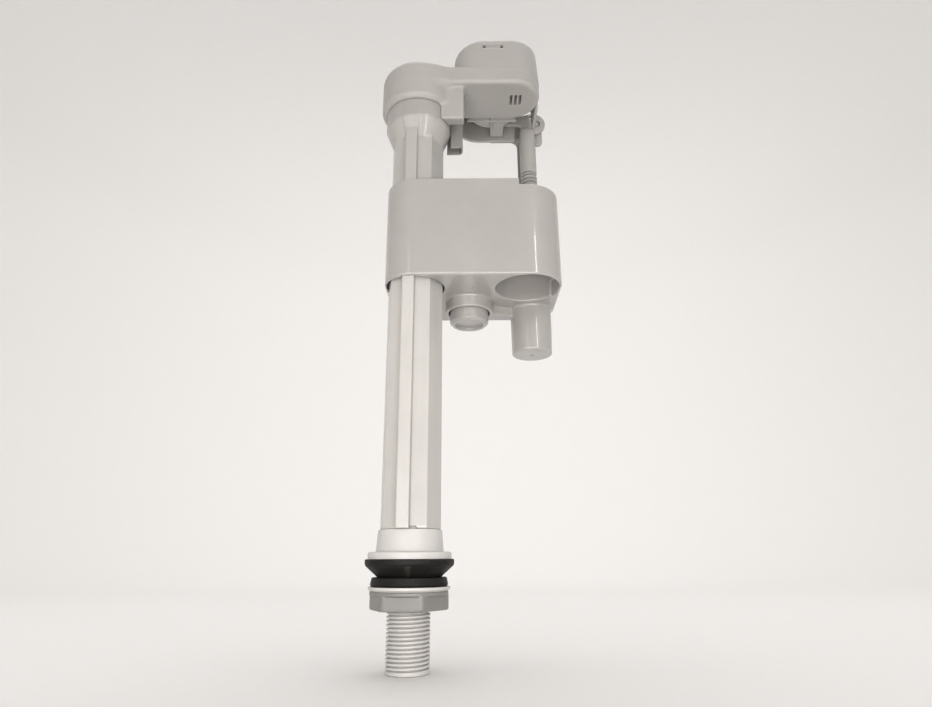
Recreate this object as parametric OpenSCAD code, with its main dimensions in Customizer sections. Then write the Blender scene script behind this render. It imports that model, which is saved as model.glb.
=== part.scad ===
// Bottom-entry cistern float valve with a delay cup.
// Z is the axis of the riser column. Z = 0 is the lower end of the threaded tail.
// +X points from the column towards the valve chamber, +Y towards the back.
// All sizes are millimetres.

/* [Inlet tail] */
// Thread crest radius of the tail (G1/2)
thread_r = 10.45; // [10.3:0.05:10.5]
// Thread root radius
thread_root_r = 9.35; // [9.2:0.05:9.6]
// Thread pitch, 14 turns per inch
thread_pitch = 1.814; // [1.75:0.001:1.85]
// Number of thread turns below the back nut
thread_turns = 15; // [12:1:15]
// Radius of the plain shank behind the nut and washers
shank_r = 10.2; // [10.0:0.05:10.25]
// Radius of the inlet bore
inlet_r = 7.6; // [7.0:0.1:7.8]
// Radius of the shank flange
flange_r = 20.5; // [19.5:0.1:21.5]
// Radius of the collar at its foot
collar_r1 = 16.5; // [16.0:0.1:17.5]
// Radius of the collar at its top
collar_r2 = 15.7; // [15.6:0.1:16.5]

/* [Nut and washers] */
// Distance across the flats of the back nut
nut_af = 34; // [32:0.5:35]
// Turn of the back nut about the column axis, in degrees
nut_turn = 54; // [0:1:59]
// Radius of the slip washer
slip_r = 19.8; // [18:0.1:20]
// Radius of the flat rubber washer
flat_r = 18.85; // [17:0.1:19.5]
// Radius of the cone washer's large end
cone_r = 21.8; // [20:0.1:22.5]

/* [Column] */
// Corner radius of the eight-sided column
column_r = 15.6; // [15:0.1:15.8]
// Bore radius of the column
column_bore = 12.5; // [12:0.1:13]
// Reach of the front rib from the column axis
rib_reach = 17; // [16.4:0.1:17]
// Width of the front rib
rib_w = 7; // [5:0.5:7]
// Turn of the rib about the column axis, in degrees
rib_turn = -100; // [-110:1:-90]
// Radius of the ring at the column's head
ring_r = 19.4; // [19.2:0.1:19.6]
// Outer radius of the riser tube
riser_r = 7; // [6.8:0.1:7]

/* [Head] */
// Radius of the elbow
elbow_r = 22.4; // [22.2:0.1:22.8]
// Height of the elbow's top
elbow_top = 336; // [335.5:0.5:337]
// Underside of the arm
arm_z0 = 322; // [321:0.5:323]
// Top of the arm
arm_z1 = 333; // [332:0.5:333]
// Half width of the arm, which is also the radius of its round end
arm_r = 17; // [16.5:0.1:17.5]
// Centre of the arm's round end along X
arm_end_x = 57.9; // [57:0.1:58]
// Centre of the valve chamber along X
valve_x = 46; // [46:0.5:46.5]
// Centre of the valve chamber along Y
valve_y = 13; // [12.5:0.5:13]
// Outer radius of the valve chamber
valve_r = 15.5; // [15:0.1:15.5]

/* [Hood] */
// Left side of the hood
hood_x0 = 21; // [20.5:0.5:21.5]
// Right side of the hood
hood_x1 = 75; // [74:0.5:76]
// Front of the hood
hood_y0 = -15.5; // [-16:0.5:-15]
// Back of the hood
hood_y1 = 41.5; // [41.5:0.5:42.5]
// Top of the hood
hood_z1 = 357; // [356.5:0.5:359]
// Corner radius of the hood
hood_c = 17; // [16:1:18]
// Wall thickness of the hood
hood_t = 1.8; // [1.5:0.1:2]

/* [Cup] */
// Underside of the cup's floor
cup_z0 = 195; // [195:0.5:195.5]
// Top of the cup's rim
cup_z1 = 254.5; // [253:0.5:255]
// Depth of the low rim at the right-hand end
weir_drop = 4; // [2:0.5:5]
// Wall thickness of the cup
cup_t = 1.6; // [1.5:0.1:1.6]
// Floor thickness of the cup
floor_t = 1.8; // [1.6:0.1:1.8]
// Centre of the through tube along X
tube_x = 63; // [63:0.1:63]
// Centre of the through tube along Y
tube_y = 0.8; // [0.8:0.1:0.8]
// Bore radius of the through tube
tube_r = 17.9; // [17:0.1:17.9]
// Outer radius of the well
well_r = 12.5; // [12:0.1:12.5]
// Underside of the well
well_z0 = 166.3; // [165:0.1:172]
// Radius of the drain boss
boss_r = 14; // [13.5:0.1:14]
// Radius of the drain plug
plug_r = 11.3; // [10.5:0.1:11.5]

/* [Float and rod] */
// Crest radius of the adjusting screw
screw_r = 5.5; // [5.5:0.1:5.5]
// Root radius of the adjusting screw
screw_root_r = 4.35; // [4:0.05:4.6]
// Pitch of the adjusting screw
screw_pitch = 2.7; // [2.6:0.1:2.8]
// Radius of the plain rod
rod_r = 5.4; // [5.2:0.1:5.4]
// Underside of the float
float_z0 = 208; // [208:0.5:212]
// Top of the float
float_z1 = 240; // [236:0.5:240]

/* [Hidden] */
$fn = 96;

e = 0.5;                 // overshoot of a cut
rod_x = 70.5;
rod_y = 34.5;
boss_x = 30.2;
boss_y = 21;
well_x = 68;
well_y = 34.5;
pin_x = 50;              // fulcrum of the lever
pin_z = 334;
link_x = 77.3;           // joint of the lever and the rod
link_z = 332.2;
nut_z = 27.6;
slip_z = 36;
flat_z = 38.1;
cone_z = 42.3;
flange_z = 49.1;
collar_z = 53.9;
sleeve_z = 64.3;
ring_z = 298;
elbow_z = 309;

// points of an arc, from angle a0 to a1
function arc(cx, cy, r, a0, a1, n = 10) =
    [for (i = [0:n]) [cx + r * cos(a0 + (a1 - a0) * i / n), cy + r * sin(a0 + (a1 - a0) * i / n)]];

// outline of a rounded rectangle
function rounded(x0, y0, x1, y1, r, n = 8) = concat(
    arc(x1 - r, y1 - r, r, 0, 90, n), arc(x0 + r, y1 - r, r, 90, 180, n),
    arc(x0 + r, y0 + r, r, 180, 270, n), arc(x1 - r, y0 + r, r, 270, 360, n));

// outline of the cup, drawn in by d
function cup_line(d) = concat(
    arc(1, -0.6, 18 - d, 180, 270, 10), arc(tube_x, tube_y, 19.4 - d, 270, 360, 12),
    arc(66.4, 35, 16 - d, 0, 90, 10), arc(-1, 35, 16 - d, 90, 180, 10));

// profile of a ring thread: crest, flank, root, flank, in radius and height
function thread_side(r, root, pitch, z0, turns) = [
    for (i = [0:turns - 1]) for (k = [0:3])
        [k < 2 ? r : root, z0 + i * pitch + [0, 0.3, 0.75, 1.35][k] * pitch / 1.8]];

module ring(r_in, r_out, z0, z1) {
    rotate_extrude() polygon([[r_in, z0], [r_out, z0], [r_out, z1], [r_in, z1]]);
}

module bar(x0, y0, z0, x1, y1, z1) {
    translate([x0, y0, z0]) cube([x1 - x0, y1 - y0, z1 - z0]);
}

// a peg along Y
module peg(x, y0, y1, z, r) {
    translate([x, y0, z]) rotate([-90, 0, 0]) cylinder(h = y1 - y0, r = r);
}

module post(x, y, z0, z1, r) {
    translate([x, y, z0]) cylinder(h = z1 - z0, r = r);
}

module tail_shank() {
    color("whitesmoke") rotate_extrude() polygon(concat(
        [[inlet_r, 0], [thread_r - 0.3, 0]],
        thread_side(thread_r, thread_root_r, thread_pitch, 0.3, thread_turns),
        [[shank_r, nut_z], [shank_r, flange_z], [flange_r - 0.5, flange_z],
         [flange_r, flange_z + 0.5], [flange_r, collar_z - 0.8], [flange_r - 0.8, collar_z],
         [collar_r1, collar_z], [collar_r2, sleeve_z], [12.4, sleeve_z], [12.4, 69],
         [10.9, 69], [10.9, 61], [riser_r + 0.05, 61], [riser_r + 0.05, 58.4],
         [9.2, 58.4], [9.2, 56], [riser_r + 0.05, 56], [riser_r + 0.05, 44],
         [4.5, 44], [4.5, 40], [inlet_r, 40]]));
}

module back_nut() {
    color("gainsboro") difference() {
        union() {
            intersection() {
                rotate([0, 0, nut_turn]) translate([0, 0, nut_z])
                    cylinder(h = 34.5 - nut_z, r = nut_af / 2 / cos(30), $fn = 6);
                translate([0, 0, nut_z]) cylinder(h = 34.5 - nut_z, r = 19.2);
            }
            translate([0, 0, 34.5]) cylinder(h = slip_z - 34.5, r = 19);
        }
        post(0, 0, nut_z - e, slip_z + e, thread_r + 0.05);
    }
}

module slip_washer() {
    color("white") ring(10.7, slip_r, slip_z, flat_z);
}

module flat_washer() {
    color("dimgray") rotate_extrude() polygon([
        [10.3, flat_z], [flat_r - 0.5, flat_z], [flat_r, flat_z + 0.8],
        [flat_r - 0.6, cone_z], [10.3, cone_z]]);
}

module cone_washer() {
    color("dimgray") rotate_extrude() polygon([
        [10.3, cone_z], [15.5, cone_z], [cone_r - 0.3, 48], [cone_r, 48.4],
        [cone_r, 50.6], [20.6, 50.6], [20.6, flange_z], [10.3, flange_z]]);
}

module inlet_filter() {
    color("lightsteelblue") difference() {
        rotate_extrude() polygon([
            [4.6, 2], [inlet_r - 0.05, 2], [inlet_r - 0.05, 4], [5.5, 4], [5.5, 31],
            [0, 31], [0, 29.8], [4.6, 29.8]]);
        for (a = [0:60:179]) rotate([0, 0, a]) for (z = [7, 14.5, 22])
            bar(-8, -1.1, z, 8, 1.1, z + 5.5);
    }
}

module flow_restrictor() {
    color("khaki") ring(2.2, riser_r - 0.05, 44, 46);
}

module riser_tube() {
    color("snow") ring(5, riser_r, 46, 314);
}

module o_ring(z) {
    translate([0, 0, z]) rotate_extrude() translate([8.1, 0]) circle(r = 1.05, $fn = 32);
}

module riser_seal_lower() {
    color("black") o_ring(57.2);
}

module riser_seal_upper() {
    color("black") o_ring(305.2);
}

module column_sleeve() {
    color("gainsboro") difference() {
        union() {
            translate([0, 0, sleeve_z]) rotate([0, 0, rib_turn]) linear_extrude(291 - sleeve_z)
                union() {
                    circle(r = column_r, $fn = 8);
                    translate([0, -rib_w / 2]) square([rib_reach, rib_w]);
                }
            rotate_extrude() polygon([
                [0, 287], [15.2, 287], [18.8, 297], [18.8, ring_z], [ring_r, ring_z + 0.6],
                [ring_r, elbow_z], [0, elbow_z]]);
            // rib over the flare
            rotate([0, 0, rib_turn]) translate([0, rib_w / 2, 0]) rotate([90, 0, 0])
                linear_extrude(rib_w) polygon([
                    [14, 287], [rib_reach, 287], [rib_reach, 290], [19.3, 297],
                    [19.3, ring_z + 0.6], [14, ring_z + 0.6]]);
        }
        post(0, 0, sleeve_z - e, elbow_z + e, column_bore);
        translate([0, 0, 290]) cylinder(h = 7, r1 = column_bore, r2 = 17);
        post(0, 0, 297, elbow_z + e, 17);
        // outlet notches at the foot
        for (a = [-80, 0, 100, 190]) rotate([0, 0, a]) bar(11, -2, sleeve_z - e, 18, 2, sleeve_z + 1.3);
    }
}

// half section of the elbow, drawn out by d
module elbow_side(d) {
    polygon(concat([[0, elbow_z - d], [elbow_r - 1.2, elbow_z - d], [elbow_r + d, elbow_z + 1.2]],
        arc(elbow_r - 5, elbow_top - 5, 5 + d, 0, 90, 6), [[0, elbow_top + d]]));
}

module head_body() {
    color("silver") difference() {
        union() {
            post(0, 0, ring_z + 1, elbow_z + 1, 16.9);
            rotate_extrude() elbow_side(0);
            translate([0, 0, arm_z0]) linear_extrude(arm_z1 - arm_z0) polygon(concat(
                [[0, -0.6 + arm_r], [0, -0.6 - arm_r]], arc(arm_end_x, -0.6, arm_r, -90, 90, 24)));
            bar(17, -14, 299, 28, -7, arm_z0 + e);
            post(valve_x, valve_y, 325, 341, valve_r);
            // fork that carries the lever
            bar(45.5, 24, 325, 54.5, 38, 338);
        }
        // socket of the riser and its seal
        post(0, 0, ring_z, 314.5, riser_r + 0.05);
        post(0, 0, 303.9, 306.5, 9.2);
        post(0, 0, 314, 326.5, 4.8);
        // passage to the chamber
        translate([0, 0, 326.5]) rotate([0, 0, atan2(valve_y, valve_x)]) rotate([0, 90, 0])
            cylinder(h = norm([valve_x, valve_y]), r = 3.6);
        post(valve_x, valve_y, 326.5, 342, 3.2);
        // outlet ring of the chamber
        difference() {
            post(valve_x, valve_y, 333.5, 342, 13);
            post(valve_x, valve_y, 333, 339, 5);
        }
        // discharge: out of the chamber, along the arm and down to the spout
        bar(22, 9.6, 334, 36, 14.8, 339);
        post(22.6, 6, elbow_z - 12, 338.2, 2.6);
        // slot and hole of the fork
        bar(45, 33, 328, 55, 36, 339);
        peg(pin_x, 30, 39, pin_z, 1.5);
        // vents under the round end
        for (x = [57.2, 60, 62.8]) bar(x - 0.7, -5.8, arm_z0 - e, x + 0.7, 3.2, arm_z0 + 4);
        // room for the spout and the annulus of the column
        bar(17 - e, -15, 296, 19.8, -1, elbow_z);
    }
}

module valve_seat() {
    color("white") translate([valve_x, valve_y, 0]) rotate_extrude() polygon([
        [2.2, 333], [3.15, 333], [3.15, 339], [5, 339], [4.2, 340.4], [2.2, 340.4]]);
}

module diaphragm() {
    color("dimgray") translate([valve_x, valve_y, 0]) rotate_extrude() polygon([
        [0.6, 340.4], [12.6, 340.4], [12.6, 341.9], [5, 341.9], [5, 342.6], [0.6, 342.6]]);
}

module bonnet() {
    color("gainsboro") translate([valve_x, valve_y, 0]) rotate_extrude() polygon([
        [0.9, 349], [0.9, 344.2], [13, 344.2], [13, 341], [valve_r, 341], [valve_r, 345.2],
        [valve_r - 0.8, 346], [3, 346], [2.2, 349]]);
}

module hood() {
    color("silver") difference() {
        union() {
            translate([0, 0, 323]) linear_extrude(hood_z1 - 323 - 3.2)
                polygon(rounded(hood_x0, hood_y0, hood_x1, hood_y1, hood_c, 12));
            translate([0, 0, hood_z1 - 3.2]) linear_extrude(1.8)
                polygon(rounded(hood_x0 + 0.6, hood_y0 + 0.6, hood_x1 - 0.6, hood_y1 - 0.6, hood_c - 0.6, 12));
            translate([0, 0, hood_z1 - 1.4]) linear_extrude(1.4)
                polygon(rounded(hood_x0 + 2.2, hood_y0 + 2.2, hood_x1 - 2.2, hood_y1 - 2.2, hood_c - 2.2, 12));
        }
        translate([0, 0, 322]) linear_extrude(hood_z1 - 2 - 322)
            polygon(rounded(hood_x0 + hood_t, hood_y0 + hood_t, hood_x1 - hood_t, hood_y1 - hood_t, hood_c - hood_t, 12));
        // the front stands on the arm
        bar(hood_x0 - 1, hood_y0 - 1, 322, hood_x1 + 1, -0.6 + arm_r + 0.2, arm_z1);
        // clear of the elbow
        rotate_extrude() elbow_side(0.3);
        // opening for the rod and the lever
        bar(62.5, 27.5, 322, hood_x1 + 1, hood_y1 - 1.2, 344);
        // snap window in the front
        bar(39.5, hood_y0 - 1, 348.2, 41.1, hood_y0 + 3, 351);
        bar(50.9, hood_y0 - 1, 348.2, 52.5, hood_y0 + 3, 351);
        bar(39.5, hood_y0 - 1, 348.8, 52.5, hood_y0 + 0.7, 350.4);
    }
}

module outlet_spout() {
    color("dimgray") difference() {
        translate([0, 10, 0]) rotate([90, 0, 0]) linear_extrude(8)
            polygon(concat([[13.5, arm_z0], [13.5, 290]], arc(24, 293, 3, -90, 0, 6), [[27, arm_z0]]));
        translate([0, 8.8, 0]) rotate([90, 0, 0]) linear_extrude(5.6)
            polygon(concat([[12, arm_z0 + e], [12, 289], [23, 289]], arc(23, 293, 2.8, -60, 0, 4), [[25.8, arm_z0 + e]]));
        // stands clear of the flare, the ring and the elbow
        rotate_extrude() polygon([[0, 279], [15.9, 279], [15.9, 287], [19.3, 297], [ring_r + 0.3, ring_z],
            [ring_r + 0.3, elbow_z], [elbow_r + 0.2, elbow_z], [elbow_r + 0.2, arm_z0 + 1], [0, arm_z0 + 1]]);
    }
}

module float_lever() {
    color("silver") difference() {
        union() {
            translate([0, 35.7, 0]) rotate([90, 0, 0]) linear_extrude(2.4) polygon(concat(
                arc(75, 332, 8, -150, 110, 26), [[60, 339.6], [53.5, 340.8]],
                [[53.5, 353.5], [47.5, 353.5]], arc(pin_x, pin_z, 4, 130, 270, 10),
                [[58, 330.6], [64, 329.8]]));
            bar(43, 9.5, 350.8, 53.5, 35.7, 353.5);
        }
        peg(pin_x, 32, 37, pin_z, 1.56);
        peg(73.3, 32, 37, 337.4, 1.1);
        peg(link_x, 32, 37, link_z, 2.3);
        bar(45.8, 17.5, 350, 50.8, 31, 354);
    }
}

module lever_pin() {
    color("lightgray") peg(pin_x, 30.5, 38, pin_z, 1.5);
}

module pilot_seal() {
    color("dimgray") post(valve_x, valve_y, 349.7, 350.8, 2.8);
}

module rod_clevis() {
    color("silver") difference() {
        union() {
            translate([rod_x, rod_y, 0]) rotate_extrude() polygon([
                [0, 292], [rod_r - 0.6, 292], [rod_r, 292.6], [rod_r, 325.2], [rod_r - 0.8, 326], [0, 326]]);
            bar(66.5, 36.3, 317, 81, 38.5, 336);
        }
        // slot for the lever's eye
        bar(62, 32.8, 320, 84, 36.3, 327);
        // bearing of the screw
        post(rod_x, rod_y, 291, 298.3, 3.56);
    }
    color("silver") peg(link_x, 33.4, 36.4, link_z, 1.6);
}

module adjusting_screw() {
    color("silver") translate([rod_x, rod_y, 0]) rotate_extrude() polygon(concat(
        [[0, 176], [screw_root_r, 176]],
        thread_side(screw_r, screw_root_r, screw_pitch, 177, 42),
        [[screw_root_r, 291.9], [3.5, 291.9], [3.5, 298], [0, 298]]));
}

// outline of the float, drawn in by d
module float_line(d) {
    polygon(rounded(-12 + d, 22.5 + d, 79 - d, 43 - d, 9 - d, 6));
    translate([20.5 + d, -15 + d]) square([21.5 - 2 * d, 45 - 2 * d]);
}

module float_shell() {
    color("whitesmoke") difference() {
        union() {
            difference() {
                translate([0, 0, float_z0]) linear_extrude(float_z1 - float_z0) float_line(0);
                translate([0, 0, float_z0 - e]) linear_extrude(float_z1 - float_z0 - 1.4 + e) float_line(1.2);
            }
            post(rod_x, rod_y, float_z0 + 4, float_z1 - 1, 8);
        }
        post(rod_x, rod_y, float_z0 - e, float_z1 + e, 6.3);
    }
}

module float_nut() {
    color("lightgray") difference() {
        translate([rod_x, rod_y, float_z1]) cylinder(h = 5, r = 8.6, $fn = 6);
        post(rod_x, rod_y, float_z1 - e, float_z1 + 6, screw_r + 0.05);
    }
}

module delay_cup() {
    color("gainsboro") difference() {
        union() {
            difference() {
                translate([0, 0, cup_z0]) linear_extrude(cup_z1 - cup_z0) polygon(cup_line(0));
                translate([0, 0, cup_z0 + floor_t]) linear_extrude(cup_z1 - cup_z0) difference() {
                    polygon(cup_line(cup_t));
                    circle(r = 17.8);
                    translate([tube_x, tube_y]) circle(r = 19.4);
                }
            }
            post(boss_x, boss_y, cup_z0 - 7.4, cup_z0 + e, boss_r);
            post(well_x, well_y, well_z0, cup_z0 + e, well_r);
        }
        // column and its rib
        post(0, 0, cup_z0 - e, cup_z1 + e, 16.2);
        rotate([0, 0, rib_turn]) bar(10, -rib_w / 2 - 0.3, cup_z0 - e, rib_reach + 0.3, rib_w / 2 + 0.3, cup_z1 + e);
        // through tube
        post(tube_x, tube_y, cup_z0 - e, cup_z1 + e, tube_r);
        // low rim
        bar(58.8, -30, cup_z1 - weir_drop, 90, 60, cup_z1 + e);
        // overflow slot in the tube's wall
        bar(tube_x + 14, tube_y - 3, cup_z0 + 30, tube_x + 19, tube_y + 3, cup_z0 + 34);
        // drain: pocket, guide and ports
        post(boss_x, boss_y, cup_z0 - 8, cup_z0, 12);
        post(boss_x, boss_y, cup_z0 - e, cup_z0 + floor_t + e, 3.2);
        for (a = [45:90:359]) translate([boss_x, boss_y, 0]) rotate([0, 0, a]) translate([7, 0, 0])
            post(0, 0, cup_z0 - e, cup_z0 + floor_t + e, 2.2);
        // well
        post(well_x, well_y, well_z0 + 1.6, cup_z0 + floor_t + e, well_r - 1.5);
        post(well_x, well_y, well_z0 - e, well_z0 + 2, 1.2);
    }
}

module cup_hanger() {
    color("gray") union() {
        bar(64.6, 44, cup_z1 - weir_drop + 0.1, 77, 47, 340);
        // foot inside the cup's back wall
        intersection() {
            union() {
                bar(54, 44, 244, 77, 50, cup_z1);
            }
            translate([0, 0, 240]) linear_extrude(20) polygon(cup_line(cup_t + 0.02));
        }
        // foot on the back of the hood
        bar(46, 41.5, 326.5, 77, 47, 340);
    }
}

module drain_plug() {
    color("gainsboro") translate([boss_x, boss_y, 0]) rotate_extrude() polygon([
        [0, 182], [8.2, 182], [8.2, 180.5], [plug_r - 1.5, 180.5], [plug_r, 182],
        [plug_r, 190], [3, 190], [3, 196.9], [4.5, 196.9], [3, 199.4], [0, 199.4]]);
}

module drain_seal() {
    color("dimgray") translate([boss_x, boss_y, 0]) rotate_extrude() polygon([
        [4.2, 190], [10.6, 190], [10.6, 191], [4.2, 191]]);
}

tail_shank();
back_nut();
slip_washer();
flat_washer();
cone_washer();
inlet_filter();
flow_restrictor();
riser_tube();
riser_seal_lower();
riser_seal_upper();
column_sleeve();
head_body();
valve_seat();
diaphragm();
bonnet();
hood();
outlet_spout();
float_lever();
lever_pin();
pilot_seal();
rod_clevis();
adjusting_screw();
float_shell();
float_nut();
delay_cup();
cup_hanger();
drain_plug();
drain_seal();
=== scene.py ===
import math

import bmesh
import bpy
import numpy as np
from mathutils import Matrix


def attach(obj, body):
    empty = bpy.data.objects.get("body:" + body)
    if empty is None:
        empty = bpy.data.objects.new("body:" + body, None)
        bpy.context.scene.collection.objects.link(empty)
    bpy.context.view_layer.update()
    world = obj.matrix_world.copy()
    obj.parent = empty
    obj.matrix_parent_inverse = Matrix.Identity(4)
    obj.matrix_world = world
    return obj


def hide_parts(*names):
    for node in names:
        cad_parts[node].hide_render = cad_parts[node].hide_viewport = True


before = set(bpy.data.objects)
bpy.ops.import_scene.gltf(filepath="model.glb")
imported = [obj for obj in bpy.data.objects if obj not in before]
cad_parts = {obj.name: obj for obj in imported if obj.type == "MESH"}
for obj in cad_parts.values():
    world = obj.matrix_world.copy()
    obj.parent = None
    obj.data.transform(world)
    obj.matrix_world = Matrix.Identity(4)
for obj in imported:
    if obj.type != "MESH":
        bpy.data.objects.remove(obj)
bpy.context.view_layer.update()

MM = 0.001

# ---------------------------------------------------------------- sizes, in mm
TUBE = (63.0, 0.8)
BOSS = (30.2, 21.0)
WELL = (68.0, 34.5)
ROD = (70.5, 34.5)
VALVE = (46.0, 13.0)
PIN = (50.0, 334.0)
LINK = (77.3, 332.2)
RIB = math.radians(-100)


# ---------------------------------------------------------------- distance fields
def circ(x, y, c, r):
    return np.hypot(x - c[0], y - c[1]) - r


def rint(a, b, r):
    """Both a and b, with an edge of radius r."""
    a, b = a + r, b + r
    return np.minimum(np.maximum(a, b), 0) + np.hypot(np.maximum(a, 0), np.maximum(b, 0)) - r


def runi(a, b, r):
    """a or b, with a fillet of radius r."""
    return -rint(-a, -b, r)


def rcut(a, b, r):
    """a without b."""
    return rint(a, -b, r)


def slab(v, lo, hi):
    return np.abs(v - (lo + hi) / 2) - (hi - lo) / 2


def ext(d2, v, lo, hi, r):
    return rint(d2, slab(v, lo, hi), r)


def box2(x, y, x0, y0, x1, y1, r):
    """Rounded rectangle; r is one radius or those of the low-low, high-low, high-high and low-high corners."""
    px, py = x - (x0 + x1) / 2, y - (y0 + y1) / 2
    if isinstance(r, tuple):
        r = np.where(px > 0, np.where(py > 0, r[2], r[1]), np.where(py > 0, r[3], r[0]))
    qx, qy = np.abs(px) - (x1 - x0) / 2 + r, np.abs(py) - (y1 - y0) / 2 + r
    return np.minimum(np.maximum(qx, qy), 0) + np.hypot(np.maximum(qx, 0), np.maximum(qy, 0)) - r


def box3(x, y, z, lo, hi, r):
    q = [np.abs(v - (a + b) / 2) - (b - a) / 2 + r for v, a, b in zip((x, y, z), lo, hi)]
    out = np.sqrt(sum(np.maximum(k, 0) ** 2 for k in q))
    return out + np.minimum(np.maximum(np.maximum(q[0], q[1]), q[2]), 0) - r


def seg2(x, y, a, b):
    """Distance to a line from a to b."""
    dx, dy = b[0] - a[0], b[1] - a[1]
    t = np.clip(((x - a[0]) * dx + (y - a[1]) * dy) / (dx * dx + dy * dy), 0, 1)
    return np.hypot(x - a[0] - t * dx, y - a[1] - t * dy)


CORNERS = np.array([(i, j, k) for i in (0, 1) for j in (0, 1) for k in (0, 1)])
EDGES = [(a, b) for a in range(8) for b in range(a + 1, 8) if np.abs(CORNERS[a] - CORNERS[b]).sum() == 1]


def surface(fn, lo, hi, h):
    """Vertices and quads of the surface where fn is 0, for a field in mm."""
    lo, hi = np.array(lo, float) - 2 * h, np.array(hi, float) + 2 * h
    n = np.ceil((hi - lo) / h).astype(int) + 1
    # a coarse pass finds where the surface can be
    c = 5
    nc = np.ceil(n / c).astype(int)
    ax = [lo[i] + h * (c * np.arange(nc[i]) + (c - 1) / 2) for i in range(3)]
    g = np.meshgrid(*ax, indexing="ij")
    coarse = fn(g[0].ravel(), g[1].ravel(), g[2].ravel()).reshape(nc)
    big = coarse.repeat(c, 0).repeat(c, 1).repeat(c, 2)[: n[0], : n[1], : n[2]]
    v = np.where(big < 0, -1.0, 1.0).astype(np.float32)
    near = np.abs(big) < c * h * 1.25
    idx = np.argwhere(near)
    p = lo + h * idx
    vals = np.concatenate([fn(q[:, 0], q[:, 1], q[:, 2]) for q in np.array_split(p, max(1, len(p) // 400000))])
    v[near] = vals
    v[v == 0] = 1e-6
    s = v < 0
    total = sum(s[i : n[0] - 1 + i, j : n[1] - 1 + j, k : n[2] - 1 + k].astype(np.int8) for i, j, k in CORNERS)
    cells = np.argwhere((total > 0) & (total < 8))
    number = np.full(n - 1, -1, np.int64)
    number[tuple(cells.T)] = np.arange(len(cells))
    pos, count = np.zeros((len(cells), 3)), np.zeros(len(cells))
    cv = [v[tuple((cells + q).T)].astype(float) for q in CORNERS]
    for a, b in EDGES:
        m = (cv[a] < 0) != (cv[b] < 0)
        t = (cv[a][m] / (cv[a][m] - cv[b][m]))[:, None]
        pos[m] += CORNERS[a] * (1 - t) + CORNERS[b] * t
        count[m] += 1
    pos = lo + h * (cells + pos / count[:, None])
    faces = []
    for axis in range(3):
        step = np.zeros(3, int)
        step[axis] = 1
        u, w = (axis + 1) % 3, (axis + 2) % 3
        a = s[tuple(slice(0, n[i] - 1) for i in range(3))]
        b = s[tuple(slice(step[i], n[i] - 1 + step[i]) for i in range(3))]
        e = np.argwhere(a != b)
        e = e[(e[:, u] > 0) & (e[:, w] > 0)]
        du, dw = np.zeros(3, int), np.zeros(3, int)
        du[u], dw[w] = 1, 1
        quad = np.stack([number[tuple((e - d).T)] for d in (du + dw, dw, 0 * du, du)], 1)
        flip = ~a[tuple(e.T)]
        quad[flip] = quad[flip][:, ::-1]
        faces.append(quad)
    faces = np.concatenate(faces)
    faces = faces[(faces >= 0).all(1)]
    # settle the points on the true surface
    eps = 0.02
    for _ in range(3):
        f = fn(*pos.T)
        grad = np.stack([(fn(*(pos + d).T) - fn(*(pos - d).T)) / (2 * eps) for d in eps * np.eye(3)], 1)
        g2 = np.maximum((grad**2).sum(1), 0.25)
        move = -(f / g2)[:, None] * grad
        size = np.linalg.norm(move, axis=1)
        move *= np.minimum(1, 0.4 * h / np.maximum(size, 1e-9))[:, None]
        pos = pos + move
    return pos, faces


# ---------------------------------------------------------------- meshes
def mesh_from(name, verts, faces):
    me = bpy.data.meshes.new(name)
    verts = np.asarray(verts, np.float32) * MM
    faces = np.asarray(faces, np.int32)
    me.vertices.add(len(verts))
    me.vertices.foreach_set("co", verts.ravel())
    me.loops.add(faces.size)
    me.loops.foreach_set("vertex_index", faces.ravel())
    me.polygons.add(len(faces))
    me.polygons.foreach_set("loop_start", np.arange(0, faces.size, 4, dtype=np.int32))
    me.update(calc_edges=True)
    me.validate()
    return me


def piece(name, me, body, nodes, mat, weld=False, weigh=False):
    if weld:
        bm = bmesh.new()
        bm.from_mesh(me)
        bmesh.ops.remove_doubles(bm, verts=bm.verts, dist=2e-6)
        bmesh.ops.dissolve_degenerate(bm, edges=bm.edges, dist=1e-6)
        bmesh.ops.recalc_face_normals(bm, faces=bm.faces)
        bm.to_mesh(me)
        bm.free()
    me.polygons.foreach_set("use_smooth", np.ones(len(me.polygons), bool))
    me.update()
    ob = bpy.data.objects.new(name, me)
    bpy.context.scene.collection.objects.link(ob)
    ob.data.materials.append(mat)
    if weigh:
        m = ob.modifiers.new("even_normals", "WEIGHTED_NORMAL")
        m.weight = 60
        m.keep_sharp = False
    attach(ob, body)
    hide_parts(*nodes)
    return ob


def field_piece(name, fn, lo, hi, h, body, nodes, mat):
    v, f = surface(fn, lo, hi, h)
    return piece(name, mesh_from(name, v, f), body, nodes, mat)


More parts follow.
